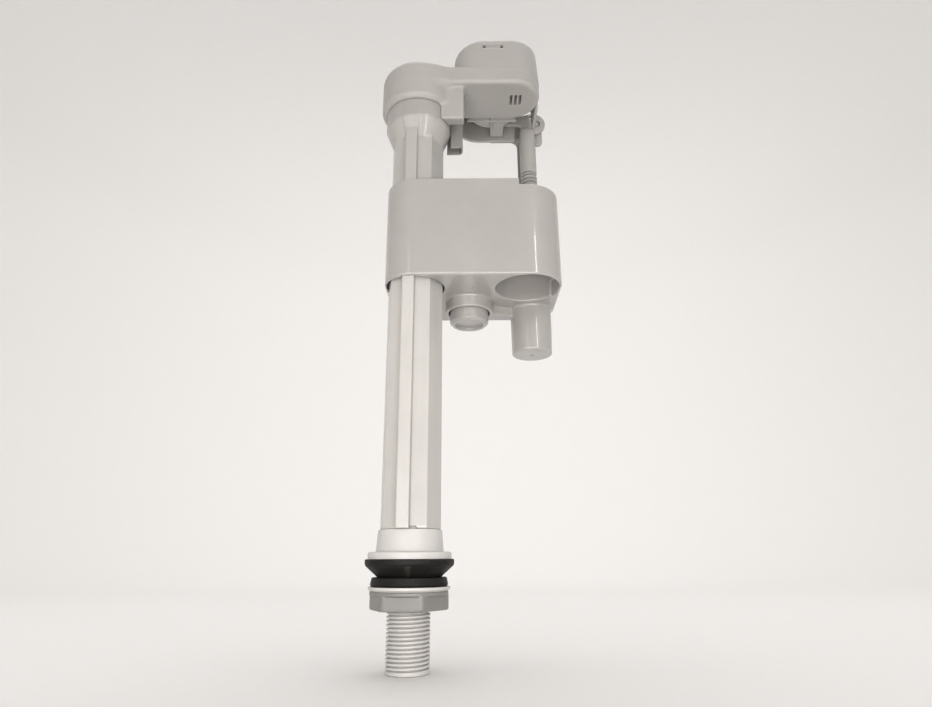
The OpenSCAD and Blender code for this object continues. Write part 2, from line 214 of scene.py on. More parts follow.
def rounded(points, radii, n=5, closed=True):
    """A polyline with its corners rounded."""
    pts = [np.array(p, float) for p in points]
    out = []
    for i, p in enumerate(pts):
        r = radii if isinstance(radii, (int, float)) else radii[i]
        if (not closed and i in (0, len(pts) - 1)) or r <= 0:
            out.append(p)
            continue
        a, b = pts[i - 1] - p, pts[(i + 1) % len(pts)] - p
        la, lb = np.linalg.norm(a), np.linalg.norm(b)
        a, b = a / la, b / lb
        ang = math.acos(float(np.clip(a @ b, -1, 1)))
        if ang > math.pi - 0.02:
            out.append(p)
            continue
        t = min(r / math.tan(ang / 2), 0.48 * la, 0.48 * lb)
        rr = t * math.tan(ang / 2)
        mid = (a + b) / np.linalg.norm(a + b)
        centre = p + mid * rr / math.sin(ang / 2)
        s, e = p + a * t - centre, p + b * t - centre
        a0, a1 = math.atan2(s[1], s[0]), math.atan2(e[1], e[0])
        d = (a1 - a0 + math.pi) % (2 * math.pi) - math.pi
        for k in range(n + 1):
            w = a0 + d * k / n
            out.append(centre + rr * np.array([math.cos(w), math.sin(w)]))
    return np.array(out)


def grid_mesh(name, p):
    """A closed tube of rings: p[ring, place on the ring]. Rings join end to end."""
    m, n = p.shape[:2]
    i, j = np.meshgrid(np.arange(m), np.arange(n), indexing="ij")
    i2, j2 = (i + 1) % m, (j + 1) % n
    f = np.stack([i * n + j, i * n + j2, i2 * n + j2, i2 * n + j], -1).reshape(-1, 4)
    return mesh_from(name, p.reshape(-1, 3), f)


def lathe(name, profile, radius, body, nodes, mat, at=(0, 0), seg=128, n=5, axis="z"):
    prof = rounded(profile, radius, n)
    prof[:, 0] = np.maximum(prof[:, 0], 0)
    # long straight runs get extra rings, so shading stays even
    dense = []
    for a, b in zip(prof, np.roll(prof, -1, 0)):
        k = max(1, int(np.linalg.norm(b - a) / 4))
        dense += [a + (b - a) * t / k for t in range(k)]
    prof = np.array(dense)
    w = np.linspace(0, 2 * math.pi, seg, endpoint=False)
    p = np.stack([prof[:, :1] * np.cos(w), prof[:, :1] * np.sin(w), np.repeat(prof[:, 1:], seg, 1)], -1)
    if axis == "y":
        p = p[..., [0, 2, 1]]
    p = p + np.array([at[0], at[1], at[2] if len(at) > 2 else 0.0])
    return piece(name, grid_mesh(name, p), body, nodes, mat, weld=True, weigh=True)


# ---------------------------------------------------------------- materials
def nodes_of(mat):
    mat.use_nodes = True
    t = mat.node_tree
    t.nodes.clear()
    out = t.nodes.new("ShaderNodeOutputMaterial")
    bsdf = t.nodes.new("ShaderNodeBsdfPrincipled")
    t.links.new(bsdf.outputs[0], out.inputs[0])
    return t, bsdf


def noise(t, coord, scale, detail=3.0, rough=0.55):
    n = t.nodes.new("ShaderNodeTexNoise")
    n.inputs["Scale"].default_value = scale
    n.inputs["Detail"].default_value = detail
    n.inputs["Roughness"].default_value = rough
    t.links.new(coord, n.inputs["Vector"])
    return n.outputs["Fac"]


def ramp(t, fac, stops):
    r = t.nodes.new("ShaderNodeValToRGB")
    t.links.new(fac, r.inputs[0])
    while len(r.color_ramp.elements) < len(stops):
        r.color_ramp.elements.new(0.5)
    for e, (at, col) in zip(r.color_ramp.elements, stops):
        e.position = at
        e.color = (*col, 1) if not isinstance(col, float) else (col, col, col, 1)
    return r.outputs[0]


def mix(t, kind, fac, a, b):
    m = t.nodes.new("ShaderNodeMix")
    m.data_type = "RGBA"
    m.blend_type = kind
    for socket, value in ((m.inputs[0], fac), (m.inputs[6], a), (m.inputs[7], b)):
        if hasattr(value, "is_output"):
            t.links.new(value, socket)
        elif isinstance(value, tuple):
            socket.default_value = (*value, 1)
        else:
            socket.default_value = value
    return m.outputs[2]


def band(t, value, stops):
    """Brightness that follows a length: stops are pairs of millimetres and brightness."""
    lo, hi = stops[0][0], stops[-1][0]
    m = t.nodes.new("ShaderNodeMapRange")
    m.inputs["From Min"].default_value = lo * MM
    m.inputs["From Max"].default_value = hi * MM
    t.links.new(value, m.inputs["Value"])
    return ramp(t, m.outputs[0], [((at - lo) / (hi - lo), float(v)) for at, v in stops])


def moulded(name, base, rough=0.4, grain=0.25, wear=0.35, mottle=0.045, flow=0.0, spec=0.5, root_shade=None, shade=None, coat=0.0):
    """Moulded plastic: slow cloudiness, a fine spark-eroded grain, paler worn edges, painted shade in the corners.
    """
    mat = bpy.data.materials.new(name)
    t, b = nodes_of(mat)
    co = t.nodes.new("ShaderNodeTexCoord").outputs["Object"]
    slow = noise(t, co, 38, 4)
    lo = tuple(c * (1 - mottle) for c in base)
    hi = tuple(min(1, c * (1 + mottle)) for c in base)
    col = ramp(t, slow, [(0.3, lo), (0.7, hi)])
    fine = noise(t, co, 1400, 2)
    col = mix(t, "MULTIPLY", 0.5, col, ramp(t, fine, [(0.3, 0.955), (0.7, 1.0)]))
    if flow:
        # faint flow lines of the melt, along the part
        mp = t.nodes.new("ShaderNodeMapping")
        mp.inputs["Scale"].default_value = (1, 1, 0.08)
        t.links.new(co, mp.inputs["Vector"])
        lines = noise(t, mp.outputs[0], 240, 3)
        col = mix(t, "MULTIPLY", flow, col, ramp(t, lines, [(0.35, 0.93), (0.65, 1.0)]))
    geo = t.nodes.new("ShaderNodeNewGeometry")
    edge = ramp(t, geo.outputs["Pointiness"], [(0.50, 0.0), (0.56, 1.0)])
    worn = mix(t, "MULTIPLY", 1.0, edge, ramp(t, noise(t, co, 160, 3), [(0.4, 0.25), (0.65, 1.0)]))
    pale = tuple(min(1, c * 1.16 + 0.015) for c in base)
    col = mix(t, "MIX", mix(t, "MULTIPLY", 1.0, worn, (wear, wear, wear)), col, pale)
    # painted shade: concave corners and creases are darkened
    crease_shade = ramp(t, geo.outputs["Pointiness"], [(0.43, 0.78), (0.49, 1.0)])
    col = mix(t, "MULTIPLY", 0.6, col, crease_shade)
    parts = t.nodes.new("ShaderNodeSeparateXYZ")
    t.links.new(co, parts.inputs[0])
    if root_shade:
        # painted shade in the roots of a thread: this argument holds the axis and pairs of radius in mm and
        # brightness
        place = t.nodes.new("ShaderNodeCombineXYZ")
        t.links.new(parts.outputs[0], place.inputs[0])
        t.links.new(parts.outputs[1], place.inputs[1])
        off = t.nodes.new("ShaderNodeVectorMath")
        off.operation = "SUBTRACT"
        off.inputs[1].default_value = (root_shade[0][0] * MM, root_shade[0][1] * MM, 0)
        t.links.new(place.outputs[0], off.inputs[0])
        length = t.nodes.new("ShaderNodeVectorMath")
        length.operation = "LENGTH"
        t.links.new(off.outputs[0], length.inputs[0])
        col = mix(t, "MULTIPLY", 1.0, col, band(t, length.outputs["Value"], root_shade[1]))
    # painted shade: colour darkened according to height along the part
    if shade:
        col = mix(t, "MULTIPLY", 1.0, col, band(t, parts.outputs[2], shade))
    t.links.new(col, b.inputs["Base Color"])
    if coat:
        b.inputs["Coat Weight"].default_value = coat
        b.inputs["Coat Roughness"].default_value = 0.07
    rr = ramp(t, noise(t, co, 70, 4), [(0.3, rough - 0.05), (0.7, rough + 0.07)])
    t.links.new(rr, b.inputs["Roughness"])
    bump = t.nodes.new("ShaderNodeBump")
    bump.inputs["Strength"].default_value = grain
    bump.inputs["Distance"].default_value = 0.00006
    t.links.new(noise(t, co, 2600, 2), bump.inputs["Height"])
    wave = t.nodes.new("ShaderNodeBump")
    wave.inputs["Strength"].default_value = 0.10
    wave.inputs["Distance"].default_value = 0.0006
    t.links.new(noise(t, co, 30, 1), wave.inputs["Height"])
    t.links.new(wave.outputs[0], bump.inputs["Normal"])
    t.links.new(bump.outputs[0], b.inputs["Normal"])
    b.inputs["Specular IOR Level"].default_value = spec
    return mat


def rubbery(name, base=(0.005, 0.0042, 0.0036)):
    """Moulded rubber: matt, with a bloom of pale dust and a coarse skin."""
    mat = bpy.data.materials.new(name)
    t, b = nodes_of(mat)
    co = t.nodes.new("ShaderNodeTexCoord").outputs["Object"]
    col = ramp(t, noise(t, co, 90, 4), [(0.35, base), (0.75, tuple(c * 1.9 for c in base))])
    dust = ramp(t, noise(t, co, 700, 4, 0.7), [(0.55, 0.0), (0.8, 0.22)])
    col = mix(t, "MIX", dust, col, (0.05, 0.045, 0.04))
    geo = t.nodes.new("ShaderNodeNewGeometry")
    edge = ramp(t, geo.outputs["Pointiness"], [(0.51, 0.0), (0.6, 0.4)])
    col = mix(t, "MIX", edge, col, (0.05, 0.045, 0.04))
    t.links.new(col, b.inputs["Base Color"])
    t.links.new(ramp(t, noise(t, co, 120, 3), [(0.3, 0.5), (0.7, 0.68)]), b.inputs["Roughness"])
    bump = t.nodes.new("ShaderNodeBump")
    bump.inputs["Strength"].default_value = 0.35
    bump.inputs["Distance"].default_value = 0.00008
    t.links.new(noise(t, co, 1500, 4), bump.inputs["Height"])
    t.links.new(bump.outputs[0], b.inputs["Normal"])
    b.inputs["Specular IOR Level"].default_value = 0.2
    return mat


def steel(name):
    mat = bpy.data.materials.new(name)
    t, b = nodes_of(mat)
    co = t.nodes.new("ShaderNodeTexCoord").outputs["Object"]
    t.links.new(ramp(t, noise(t, co, 400, 3), [(0.3, (0.5, 0.5, 0.5)), (0.7, (0.66, 0.66, 0.67))]), b.inputs["Base Color"])
    b.inputs["Metallic"].default_value = 1.0
    t.links.new(ramp(t, noise(t, co, 900, 3), [(0.3, 0.24), (0.7, 0.38)]), b.inputs["Roughness"])
    return mat


# plastic_body grows darker towards the head and darker still on its top ring: painted shade
M_BODY = moulded("plastic_body", (0.420, 0.402, 0.381), 0.36, flow=0.6, shade=[(190, 1.0), (262, 0.84), (297.3, 0.86), (298.4, 0.74), (309, 0.72)], coat=0.4)
M_CUP = moulded("plastic_cup", (0.315, 0.299, 0.282), 0.34, grain=0.15, coat=0.8)
M_HEAD = moulded("plastic_head", (0.325, 0.310, 0.293), 0.42)
# plastic_tail and plastic_screw darken the roots of their threads: painted shade
M_TAIL = moulded("plastic_tail", (0.48, 0.464, 0.444), 0.40, mottle=0.03, root_shade=((0, 0), [(8.2, 1.0), (9.1, 0.70), (9.7, 0.78), (10.25, 1.0), (12, 1.0)]))
M_SCREW = moulded("plastic_screw", (0.34, 0.324, 0.306), 0.42, root_shade=(ROD, [(3.9, 0.6), (4.5, 0.62), (5.2, 1.0), (6, 1.0)]))
M_NUT = moulded("plastic_nut", (0.180, 0.171, 0.160), 0.42)
# plastic_grey_painted_shade is the head plastic darkened: painted shade for the spout and the hanger strap
M_SHADE_GREY = moulded("plastic_grey_painted_shade", (0.21, 0.20, 0.188), 0.45)
M_WHITE = moulded("plastic_white", (0.74, 0.73, 0.71), 0.38)
M_FILTER = moulded("plastic_filter", (0.36, 0.42, 0.45), 0.45)
M_RUBBER = rubbery("rubber_black")
M_STEEL = steel("steel_pin")


# ---------------------------------------------------------------- tail: helical thread and collar in one moulding
def threaded(name, crest, root, pitch, z0, z1, sharp, tail, body, nodes, mat, at=(0, 0), seg=144, step=0.13, end=1.2, top=0.8, wide=0.0, plain=False):
    """A screw with a true right-handed helix from z0 to z1, joined to the profile points of tail."""
    w = np.linspace(0, 2 * math.pi, seg, endpoint=False)
    zs = np.arange(z0, z1 + step / 2, step)
    zz, ww = np.meshgrid(zs, w, indexing="ij")
    u = zz / pitch - ww / (2 * math.pi)
    f = 0.5 + wide + sharp * np.cos(2 * math.pi * u)
    f = np.clip(f, 0, 1)
    f = f * f * (3 - 2 * f)
    # the thread starts and runs out gradually
    f = f * np.clip((z1 - zz) / top, 0, 1)
    lead = 1 - np.clip((zz - z0 - 0.9) / end, 0, 1)
    f = np.maximum(f, lead) if plain else f * (1 - lead)
    rr = root + (crest - root) * f
    rings = np.stack([rr * np.cos(ww), rr * np.sin(ww), zz], -1)
    tail = np.asarray(tail)
    rest = np.stack([tail[:, :1] * np.cos(w), tail[:, :1] * np.sin(w), np.repeat(tail[:, 1:], seg, 1)], -1)
    p = np.concatenate([rings, rest]) + np.array([at[0], at[1], 0.0])
    return piece(name, grid_mesh(name, p), body, nodes, mat, weld=True)


def dense(points, step=2.0):
    out = []
    for a, b in zip(points[:-1], points[1:]):
        k = max(1, int(np.linalg.norm(np.subtract(b, a)) / step))
        out += [np.add(a, np.multiply(np.subtract(b, a), t / k)) for t in range(k)]
    return np.array(out + [points[-1]])


upper = rounded(
    [(10.2, 27.7), (10.2, 49.1), (20.5, 49.1), (20.5, 53.9), (16.6, 53.9), (15.8, 64.3), (12.4, 64.3), (12.4, 69),
     (10.9, 69), (10.9, 61), (7.05, 61), (7.05, 44), (4.5, 44), (4.5, 40), (7.6, 40), (7.6, 0.0), (9.75, 0.0), (10.35, 0.28)],
    [0.1, 0.3, 0.9, 0.9, 0.7, 0.5, 0.3, 0.3, 0.3, 0.3, 0.3, 0.3, 0.3, 0.3, 0.3, 0.5, 0.3, 0], 5, closed=False)
threaded("tail_moulding", 10.44, 9.25, 1.814, 0.3, 27.6, 0.85, dense(upper, 2.0), "valve", ["tail_shank"], M_TAIL, end=1.0, top=1.2, wide=0.30, plain=True)

# adjusting screw: a coarse rounded thread
neck = dense(rounded([(4.3, 291.95), (3.5, 291.95), (3.5, 298), (0, 298), (0, 176), (3.6, 176), (4.3, 176.7)], [0.1, 0.2, 0.4, 0, 0, 0.3, 0.1], 4, closed=False), 3.0)
threaded("adjusting_screw_rod", 5.48, 4.4, 2.7, 176.8, 291.9, 0.62, neck, "screw", ["adjusting_screw"], M_SCREW, at=ROD, seg=72, step=0.24, end=1.5, top=1.2)


# ---------------------------------------------------------------- nut and washers
def nut_field(x, y, z):
    a = math.radians(54)
    hexa = np.full(x.shape, -1e9)
    for k in range(3):
        w = a + math.radians(30 + 60 * k)
        d = np.abs(x * math.cos(w) + y * math.sin(w)) - 17.0
        hexa = rint(hexa, d, 0.9) if k else d
    r = np.hypot(x, y)
    cone = (r - 19.35 - 0.55 * np.minimum(z - 28.6, 0)) * 0.88
    body = rint(rint(hexa, cone, 0.4), slab(z, 27.6, 34.7), 0.5)
    collar = rint(r - 19.0, slab(z, 34.2, 36.0), 0.35)
    # shallow coring pockets on the underside between the bore and the flats
    d = runi(body, collar, 0.3)
    ringpocket = rint(slab(r, 12.6, 15.2), z - 28.5, 0.3)
    ribs = np.full(x.shape, 1e9)
    for k in range(6):
        w = a + math.radians(60 * k)
        ribs = np.minimum(ribs, np.abs(-x * math.sin(w) + y * math.cos(w)) - 0.8)
    d = rcut(d, rcut(ringpocket, ribs, 0.3), 0.3)
    return rcut(d, r - 10.5, 0.35)


field_piece("back_nut_moulding", nut_field, (-20, -20, 27), (20, 20, 37), 0.36, "nut", ["back_nut"], M_NUT)
lathe("slip_washer_ring", [(10.7, 36.02), (18.6, 36.02), (19.8, 36.9), (19.8, 38.08), (10.7, 38.08)], 0.35, "slip_ring", ["slip_washer"], M_TAIL)
lathe("flat_seal", [(10.3, 38.12), (18.2, 38.12), (18.85, 38.9), (18.2, 42.25), (10.3, 42.25)], [0.2, 0.5, 0.6, 0.5, 0.2], "valve", ["flat_washer"], M_RUBBER)
lathe("cone_seal", [(10.3, 42.32), (15.5, 42.32), (21.3, 47.4), (21.8, 48.4), (21.8, 50.6), (20.62, 50.6), (20.62, 49.08), (10.3, 49.08)], [0.2, 0.8, 0.9, 0.8, 0.5, 0.3, 0.3, 0.2], "valve", ["cone_washer"], M_RUBBER)


# ---------------------------------------------------------------- column with flats, rib and flare
def column():
    flat = 15.6 * math.cos(math.pi / 8)
    corners = [(15.6 * math.cos(math.radians(45 * k)), 15.6 * math.sin(math.radians(45 * k))) for k in range(8)]
    # the rib stands on corner 0; the outline runs round from one side of the rib to the other
    y = 3.5
    meet = 15.6 - (y) * math.tan(math.pi / 8)
    pts = [(17.0, -y), (17.0, y), (meet, y)] + corners[1:] + [(meet, -y)]
    rad = [1.2, 0.3, 0.4] + [0.9] * 7 + [0.7]
    line = rounded(pts, rad, 5)
    # even points along the outline
    fine = []
    for a, b in zip(line, np.roll(line, -1, 0)):
        k = max(1, int(np.linalg.norm(b - a) / 0.8))
        fine += [a + (b - a) * t / k for t in range(k)]
    line = np.array(fine)
    ang = np.arctan2(line[:, 1], line[:, 0])
    rad = np.hypot(line[:, 0], line[:, 1])
    rib = np.clip((3.95 - np.abs(line[:, 1])) / 0.5, 0, 1) * (line[:, 0] > 0)

    def place(r, z):
        a = ang + RIB
        return np.stack([r * np.cos(a), r * np.sin(a), z + np.zeros(len(a))], -1)

    rings = []
    low = 64.35
    # outlet notches at the foot
    notch = np.zeros(len(ang))
    for deg in (-80, 0, 100, 190):
        off = (ang + RIB - math.radians(deg) + math.pi) % (2 * math.pi) - math.pi
        notch = np.maximum(notch, np.clip((7.6 - np.degrees(np.abs(off))) / 1.2, 0, 1))
    for r, z in ((-0.35, low), (0.0, low + 0.35)):
        rings.append(place(rad + r, z + 1.1 * notch))
    for z in np.linspace(66, 286, 60):
        rings.append(place(rad, z))
    for z in np.linspace(286.4, 297.6, 30):
        # the flare turns the eight flats into a round
        cone = 14.6 + (18.95 - 14.6) * np.clip((z - 286.4) / 10.8, 0, 1) ** 0.9
        k = 0.5
        h = np.maximum(k - np.abs(rad - cone), 0) / k
        r = np.maximum(rad, cone) + h * h * k * 0.25
        r = np.where(rib > 0, np.maximum(r, (cone + 0.55) * rib + r * (1 - rib)), r)
        rings.append(place(r, z))
    for r, z in ((19.0, 297.9), (19.3, 298.15), (19.4, 298.7), (19.4, 302), (19.4, 308.2), (19.2, 308.75), (18.8, 308.95)):
        rings.append(place(np.full(len(ang), r) + 0.3 * rib * (z < 298.5), z))
    for r, z in ((17.05, 308.95), (17.0, 308.6), (17.0, 297), (12.6, 290.1), (12.5, 289.6)):
        rings.append(place(np.full(len(ang), r), z))
    for z in np.linspace(280, 66, 12):
        rings.append(place(np.full(len(ang), 12.5), z))
    rings.append(place(np.full(len(ang), 12.5), low + 1.1 * notch))
    return np.array(rings)


piece("column_moulding", grid_mesh("column_moulding", column()), "valve", ["column_sleeve"], M_BODY, weld=True, weigh=True)


# ---------------------------------------------------------------- head: elbow, arm, chamber and fork
def elbow_field(x, y, z, grow=0.0):
    r = np.hypot(x, y)
    side = rint(r - 22.4, z - 336, 6.0)
    chamfer = (r - 22.4 + 309 - z + 2.2) * 0.7071
    return rint(rint(side, chamfer, 0.4), 309 - z, 0.4) - grow


def head_field(x, y, z):
    r = np.hypot(x, y)
    elbow = elbow_field(x, y, z)
    arm2 = seg2(x, y, (0, -0.6), (57.9, -0.6)) - 17.0
    arm = rint(rint(arm2, z - 333, 0.05), 322 - z, 2.6)
    d = runi(elbow, arm, 5.0)
    block = rint(rint(box2(x, y, 12, -14, 28, -7, 1.6), z - 326, 0.5), 299 - z, 1.2)
    d = runi(d, block, 2.0)
    spigot = rint(r - 16.9, slab(z, 299, 312), 0.4)
    d = np.minimum(d, spigot)
    chamber = rint(circ(x, y, VALVE, 15.5), slab(z, 325, 341), 0.6)
    d = runi(d, chamber, 1.2)
    # stiffening ribs under the chamber
    ribs = np.minimum(np.abs(x - VALVE[0]) - 0.7, np.abs(y - 20) - 0.7)
    web = rint(rint(circ(x, y, VALVE, 17.5), ribs, 0.2), slab(z, 323.4, 330), 0.3)
    d = runi(d, web, 0.5)
    fork = box3(x, y, z, (45.5, 24, 325), (54.5, 38, 338), 0.8)
    d = runi(d, fork, 0.8)
    d = rcut(d, box3(x, y, z, (40, 33, 328), (60, 36, 345), 0.3), 0.3)
    hole = np.hypot(x - PIN[0], z - PIN[1]) - 1.5
    d = rcut(d, np.maximum(hole, 29 - y), 0.1)
    # socket for the riser and its seal
    d = rcut(d, np.maximum(r - 7.05, z - 314.5), 0.3)
    d = rcut(d, np.maximum(np.maximum(r - 9.2, z - 306.5), 303.9 - z), 0.1)
    # outlet ring of the chamber, with the seat's pillar
    rv = circ(x, y, VALVE, 0)
    d = rcut(d, np.maximum(slab(rv, 5, 13), 333.5 - z), 0.4)
    d = rcut(d, np.maximum(rv - 3.2, 326 - z), 0.2)
    d = np.maximum(d, np.where(rv < 6, z - 339, -1e9))
    # three vents under the round end
    for vx in (57.2, 60.0, 62.8):
        vent = rint(box2(x, y, vx - 0.75, -5.8, vx + 0.75, 3.2, 0.6), slab(z, 320, 326), 0.2)
        d = rcut(d, vent, 0.25)
    # room for the ring of the column
    return np.where(z < 309.05, np.maximum(d, -(np.abs(r - 18.3) - 1.3)), d)


field_piece("head_moulding", head_field, (-24, -24, 296), (76, 39, 342), 0.55, "valve", ["head_body"], M_HEAD)


def hood_field(x, y, z):
    draft = 1.5 * np.clip((z - 333) / 24, 0, 1)
    out = box2(x, y, 21, -17.6, 75, 41.5, (20.0, 17.0, 17.0, 17.0)) + draft
    d = rint(rint(out, z - 357, 4.6), 323 - z, 0.4)
    inner = rint(out + 1.8, z - 355, 3.0)
    d = rcut(d, inner, 0.3)
    # the front laps a hair over the arm, so the joint between the two mouldings is flush
    front = np.maximum(y - 7.0, z - 330.6)
    arm = np.maximum(seg2(x, y, (0, -0.6), (57.9, -0.6)) - 17.15, z - 333.0)
    arm = np.maximum(arm, 7.0 - y)
    d = rcut(rcut(d - 0.04, front, 0.02), arm, 0.02)
    d = rcut(d, elbow_field(x, y, z, 0.12), 0.05)
    d = rcut(d, box3(x, y, z, (62.5, 27.5, 310), (90, 40.3, 344), 1.0), 0.35)
    # snap window: a raised lip, a shallow recess and a slot at each end
    w2 = box2(x, z, 39.2, 347.6, 52.8, 351.6, 0.7)
    lip = rint(np.abs(w2 + 0.25) - 0.35, slab(y, -17.6 + draft - 0.4, -15.0), 0.15)
    d = runi(d, lip, 0.2)
    d = rcut(d, rint(box2(x, z, 39.9, 348.3, 52.1, 350.9, 0.4), y + 15.6, 0.1), 0.12)
    for a, b in ((39.9, 41.4), (50.6, 52.1)):
        d = rcut(d, rint(box2(x, z, a, 348.3, b, 350.9, 0.3), y + 12, 0.1), 0.12)
    return d


field_piece("hood_moulding", hood_field, (19, -18.5, 322), (76, 42, 360), 0.52, "valve", ["hood"], M_HEAD)


def spout_field(x, y, z):
    r = np.hypot(x, y)
    d = rint(rint(box2(x, z, 6, 290, 27, 340, 2.8), slab(y, 2, 10), 0.7), z - 321.9, 0.3)
    hollow = rint(box2(x, z, 4, 285, 25.7, 345, 2.2), slab(y, 3.3, 8.7), 0.5)
    d = rcut(d, hollow, 0.25)
    d = np.where(z < 309.2, rcut(d, r - 19.75, 0.25), rcut(d, r - 22.65, 0.25))
    cone = r - (15.95 + 3.5 * np.clip((z - 286.5) / 10.3, 0, 1))
    return np.maximum(d, -cone)


# the spout takes the darkened plastic: painted shade
field_piece("spout_moulding", spout_field, (13, 1.5, 289), (28, 10.5, 323), 0.34, "valve", ["outlet_spout"], M_SHADE_GREY)


# ---------------------------------------------------------------- delay cup
def cup_field(x, y, z):
    out = box2(x, y, -17, -18.6, 82.4, 51, (18.0, 19.4, 16.0, 16.0))
    d = rint(rint(out, 195 - z, 1.5), z - 254.5, 0.45)
    rc, rt = np.hypot(x, y), circ(x, y, TUBE, 0)
    room = rint(rint(out + 1.6, -(rc - 17.8), 1.2), -(rt - 19.4), 1.2)
    d = rcut(d, rint(room, 196.8 - z, 0.8), 0.4)
    boss = rint(circ(x, y, BOSS, 14.0), slab(z, 187.6, 196), 0.8)
    d = runi(d, boss, 1.3)
    taper = 0.5 * np.clip((195 - z) / 28, 0, 1)
    well = rint(circ(x, y, WELL, 12.5) + taper, slab(z, 166.3, 196), 1.3)
    d = runi(d, well, 1.3)
    # stiffening web between the boss and the well
    web = rint(seg2(x, y, BOSS, WELL) - 0.8, slab(z, 189.5, 196), 0.3)
    d = runi(d, web, 0.8)
    # column and its rib
    d = rcut(d, rc - 16.3, 0.35)
    u, v = x * math.cos(RIB) + y * math.sin(RIB), -x * math.sin(RIB) + y * math.cos(RIB)
    d = rcut(d, box2(u, v, 8, -3.7, 17.1, 3.7, 1.1), 0.2)
    d = rcut(d, rt - 17.9, 0.6)
    # low rim round the right-hand end
    d = rcut(d, np.maximum(58.8 - x, 250.5 - z), 0.3)
    # a shallow moulded recess in the through tube's wall
    a = math.radians(28)
    tx, ty = (x - TUBE[0]) * math.cos(a) + (y - TUBE[1]) * math.sin(a), -(x - TUBE[0]) * math.sin(a) + (y - TUBE[1]) * math.cos(a)
    d = rcut(d, box3(tx, ty, z, (15, -2.8, 190), (18.8, 2.8, 205), 0.3), 0.2)
    slot = box3(x, y, z, (77, -2.2, 225), (82.0, 3.8, 229), 0.4)
    d = rcut(d, np.maximum(slot, -(81.0 - x) * -1), 0.2)
    # drain pocket, guide and ports
    rb = circ(x, y, BOSS, 0)
    d = rcut(d, np.maximum(rb - 12.0, z - 195), 0.4)
    d = rcut(d, rb - 3.2, 0.2)
    for k in range(4):
        w = math.radians(45 + 90 * k)
        d = rcut(d, circ(x, y, (BOSS[0] + 7 * math.cos(w), BOSS[1] + 7 * math.sin(w)), 2.2), 0.25)
    # well and its weep hole
    d = rcut(d, rint(circ(x, y, WELL, 11.0), 168.0 - z, 0.8), 0.3)
    d = rcut(d, np.maximum(circ(x, y, WELL, 1.2), z - 175), 0.4)
    # gate witness: a small raised ring on the floor
    ring = np.hypot(np.hypot(x - 30.3, y + 1.2) - 1.9, z - 195) - 0.32
    return runi(d, ring, 0.15)


field_piece("cup_moulding", cup_field, (-17.5, -19, 165.5), (83, 51.5, 255), 0.58, "valve", ["delay_cup"], M_CUP)


def hanger_field(x, y, z):
    strap = box3(x, y, z, (64.6, 44, 246), (77, 47, 340), 0.6)
    top = box3(x, y, z, (46, 41.5, 326.5), (77, 47, 340), 0.6)
    d = runi(strap, top, 5.0)
    foot = box3(x, y, z, (54, 44, 244), (77, 49.4, 254.4), 0.6)
    d = runi(d, foot, 5.0)
    d = rint(d, np.maximum(x - 77, z - 340), 0.5)
    d = rint(d, np.where(z > 321, 41.5 - y, 44 - y), 0.3)
    d = rint(d, np.where(z > 260, y - 47, y - 49.4), 0.3)
    # a shallow channel down the strap's face
    d = rcut(d, box3(x, y, z, (67.4, 40, 262), (74.2, 44.5, 314), 0.3), 0.25)
    inside = box2(x, y, -17, -18.6, 82.4, 51, (18.0, 19.4, 16.0, 16.0)) + 1.63
    low = np.maximum(d, inside)
    d = np.where(z < 250.6, low, d)
    return np.maximum(d, 41.5 - y)


# the hanger takes the darkened plastic: painted shade
field_piece("hanger_moulding", hanger_field, (45, 41, 243), (78, 50, 341), 0.5, "valve", ["cup_hanger"], M_SHADE_GREY)


# ---------------------------------------------------------------- lever, rod and link
def lever_field(x, y, z):
    eye = np.hypot(x - 75, z - 332) - 8
    hub = np.hypot(x - PIN[0], z - PIN[1]) - 4
    bar = seg2(x, z, (52, 335), (72, 334.4)) - 3.8
    d2 = runi(runi(eye, bar, 3), hub, 1)
    d2 = runi(d2, box2(x, z, 47.5, 334, 53.5, 353.5, 0.8), 2)
    d = rint(d2, slab(y, 33.3, 35.7), 0.4)
    # a raised rim round the eye is worked out here but not joined to the lever
    rim = rint(np.abs(np.hypot(x - 75, z - 332) - 7.2) - 0.7, slab(y, 33.05, 35.7), 0.2)
    cross = rint(box2(x, y, 43, 9.5, 53.5, 35.7, 1.5), slab(z, 350.8, 353.5), 0.5)
    d = runi(d, cross, 0.6)
    d = rcut(d, rint(box2(x, y, 45.8, 17.5, 50.8, 31, 1.0), slab(z, 340, 360), 0.2), 0.3)
    d = rcut(d, np.hypot(x - PIN[0], z - PIN[1]) - 1.56, 0.15)
    d = rcut(d, np.hypot(x - 73.3, z - 337.4) - 1.1, 0.15)
    d = rcut(d, np.hypot(x - LINK[0], z - LINK[1]) - 2.3, 0.2)
    return np.where((z > 345) | (x > 40), d, d)


field_piece("lever_moulding", lever_field, (42, 9, 321), (84, 36.5, 354.5), 0.4, "lever", ["float_lever"], M_HEAD)


def rod_field(x, y, z):
    r = circ(x, y, ROD, 0)
    d = rint(r - 5.4, slab(z, 292, 326), 0.8)
    # two fine moulded rings above the screw
    for zz in (294.4, 297.2):
        d = rcut(d, np.hypot(r - 5.5, z - zz) - 0.35, 0.1)
    lug = rint(box2(x, z, 66.5, 317, 81, 336, 3.0), slab(y, 36.3, 38.5), 0.4)
    d = runi(d, lug, 0.4)
    d = rcut(d, box3(x, y, z, (60, 32.8, 320), (86, 36.3, 342), 0.2), 0.2)
    d = rcut(d, np.maximum(r - 3.56, z - 298.3), 0.2)
    stub = rint(np.hypot(x - LINK[0], z - LINK[1]) - 1.6, slab(y, 33.4, 37), 0.3)
    return np.minimum(d, stub)


